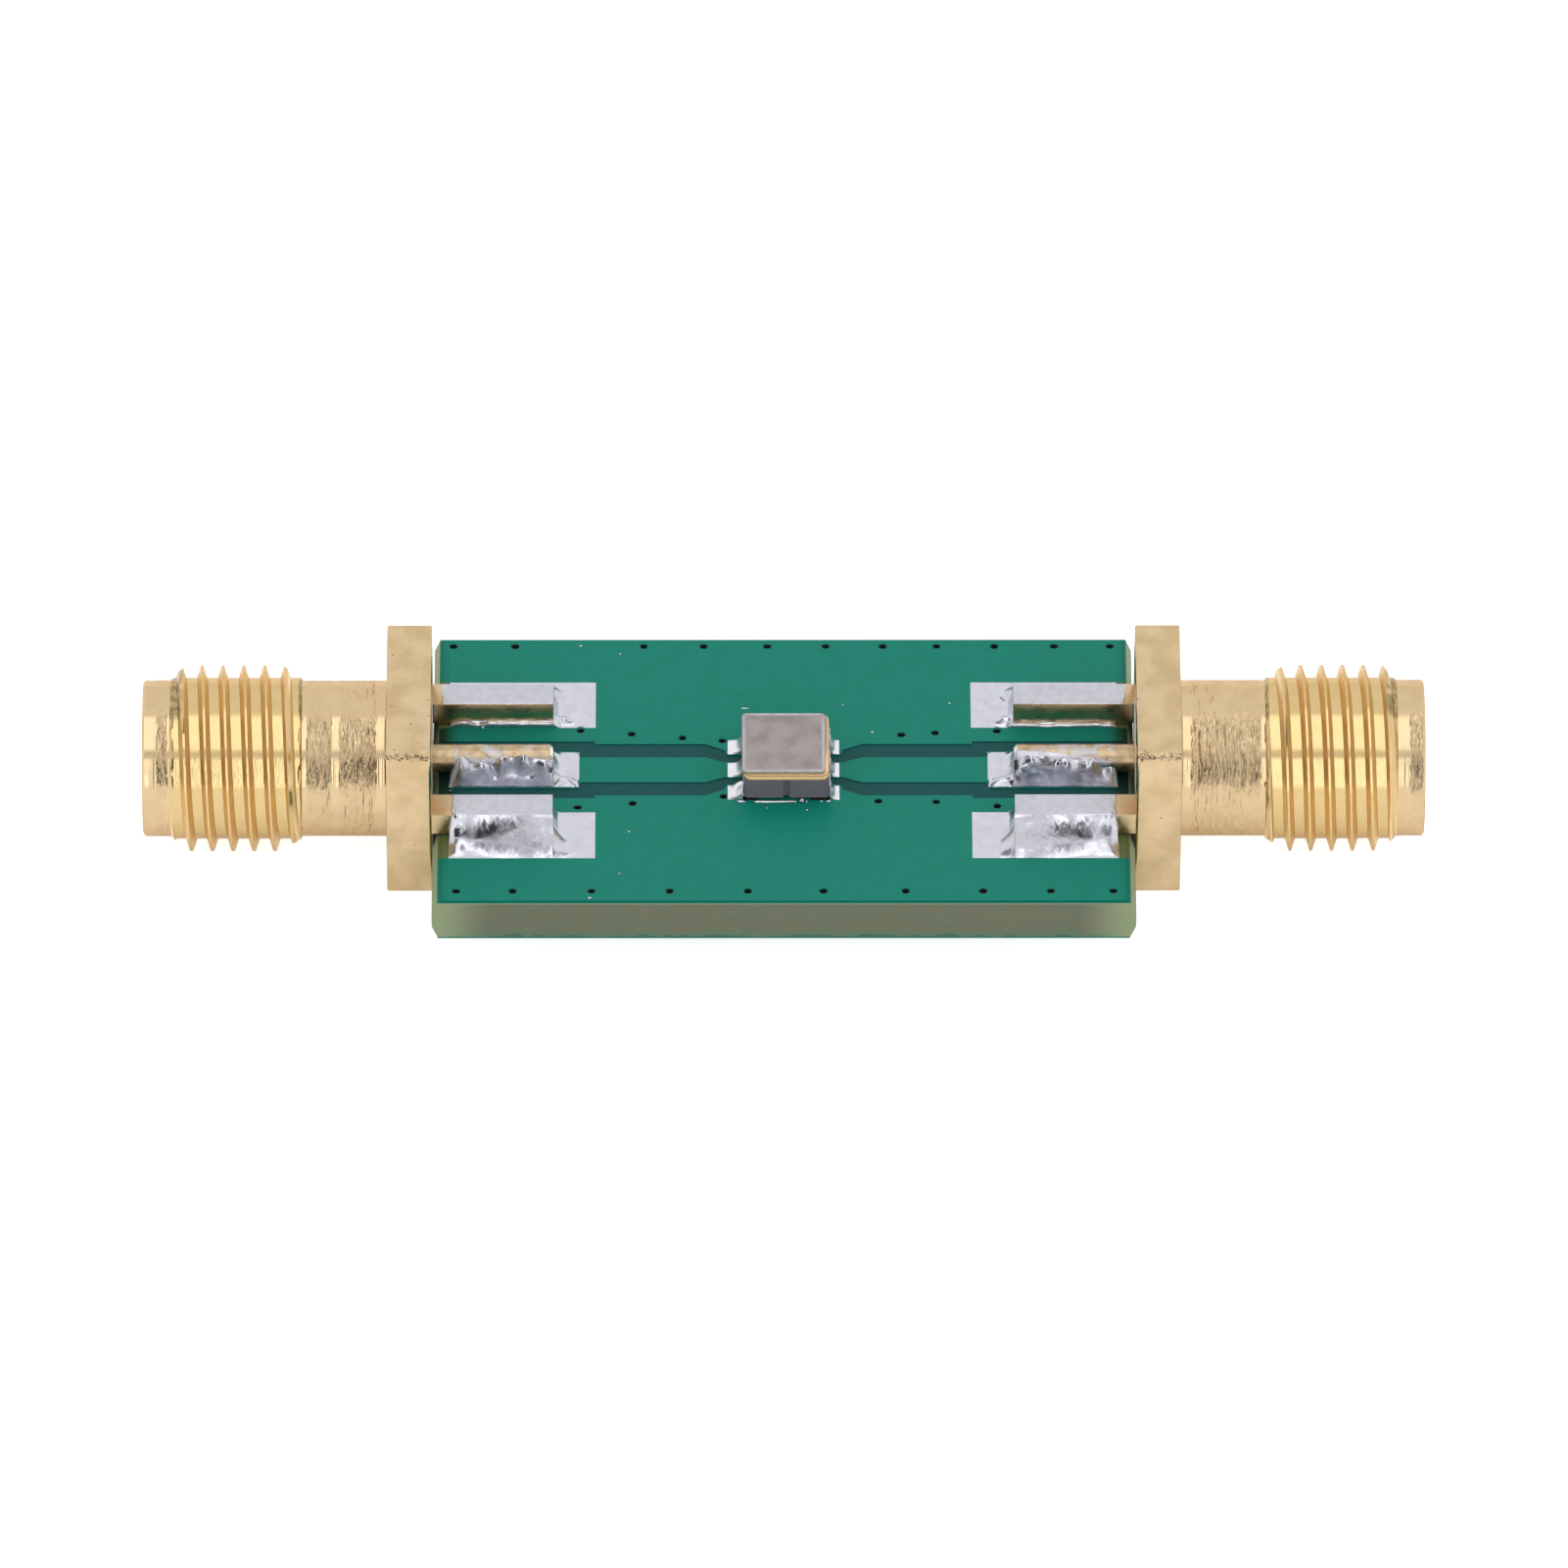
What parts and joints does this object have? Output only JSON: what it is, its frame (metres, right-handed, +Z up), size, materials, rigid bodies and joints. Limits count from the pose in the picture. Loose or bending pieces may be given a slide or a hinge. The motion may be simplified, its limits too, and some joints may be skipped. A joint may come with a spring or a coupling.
{
  "type": "radio frequency filter module",
  "caption": "Small radio frequency filter module: a green circuit board with a ceramic filter package in the middle and a gold threaded coaxial jack soldered on each end.",
  "frame": {"origin": "under the middle of the board, on the surface that the two square flanges stand on", "axes": "+X along the two jacks, +Y across the board away from the camera, +Z up out of the board's filter side"},
  "size_m": [0.0434, 0.0126, 0.0065],
  "materials": {
    "gold_plating": "satin",
    "dielectric": "matte",
    "contact_gold": "polished",
    "laminate": "matte",
    "copper_foil": "satin",
    "solder_mask": "satin",
    "solder": "satin",
    "ceramic_body": "matte",
    "terminal_gold": "satin",
    "ring_gold": "satin",
    "lid_nickel": "matte",
    "crystal": "polished"
  },
  "bodies": {
    "root": {"bottom_solder_mask": "solder_mask", "circuit_board": "laminate", "filter_base": "ceramic_body", "filter_crystal": "crystal", "filter_lid": "lid_nickel", "filter_seal_ring": "ring_gold", "filter_solder": "solder", "filter_terminals": "terminal_gold", "ground_copper": "copper_foil", "left_back_bottom_solder": "solder", "left_back_top_solder": "solder", "left_centre_contact": "contact_gold", "left_front_bottom_solder": "solder", "left_front_top_solder": "solder", "left_jack_body": "gold_plating", "left_jack_insulator": "dielectric", "left_signal_solder": "solder", "left_signal_trace": "copper_foil", "right_back_bottom_solder": "solder", "right_back_top_solder": "solder", "right_centre_contact": "contact_gold", "right_front_bottom_solder": "solder", "right_front_top_solder": "solder", "right_jack_body": "gold_plating", "right_jack_insulator": "dielectric", "right_signal_solder": "solder", "right_signal_trace": "copper_foil", "top_solder_mask": "solder_mask"}
  },
  "joints": []
}
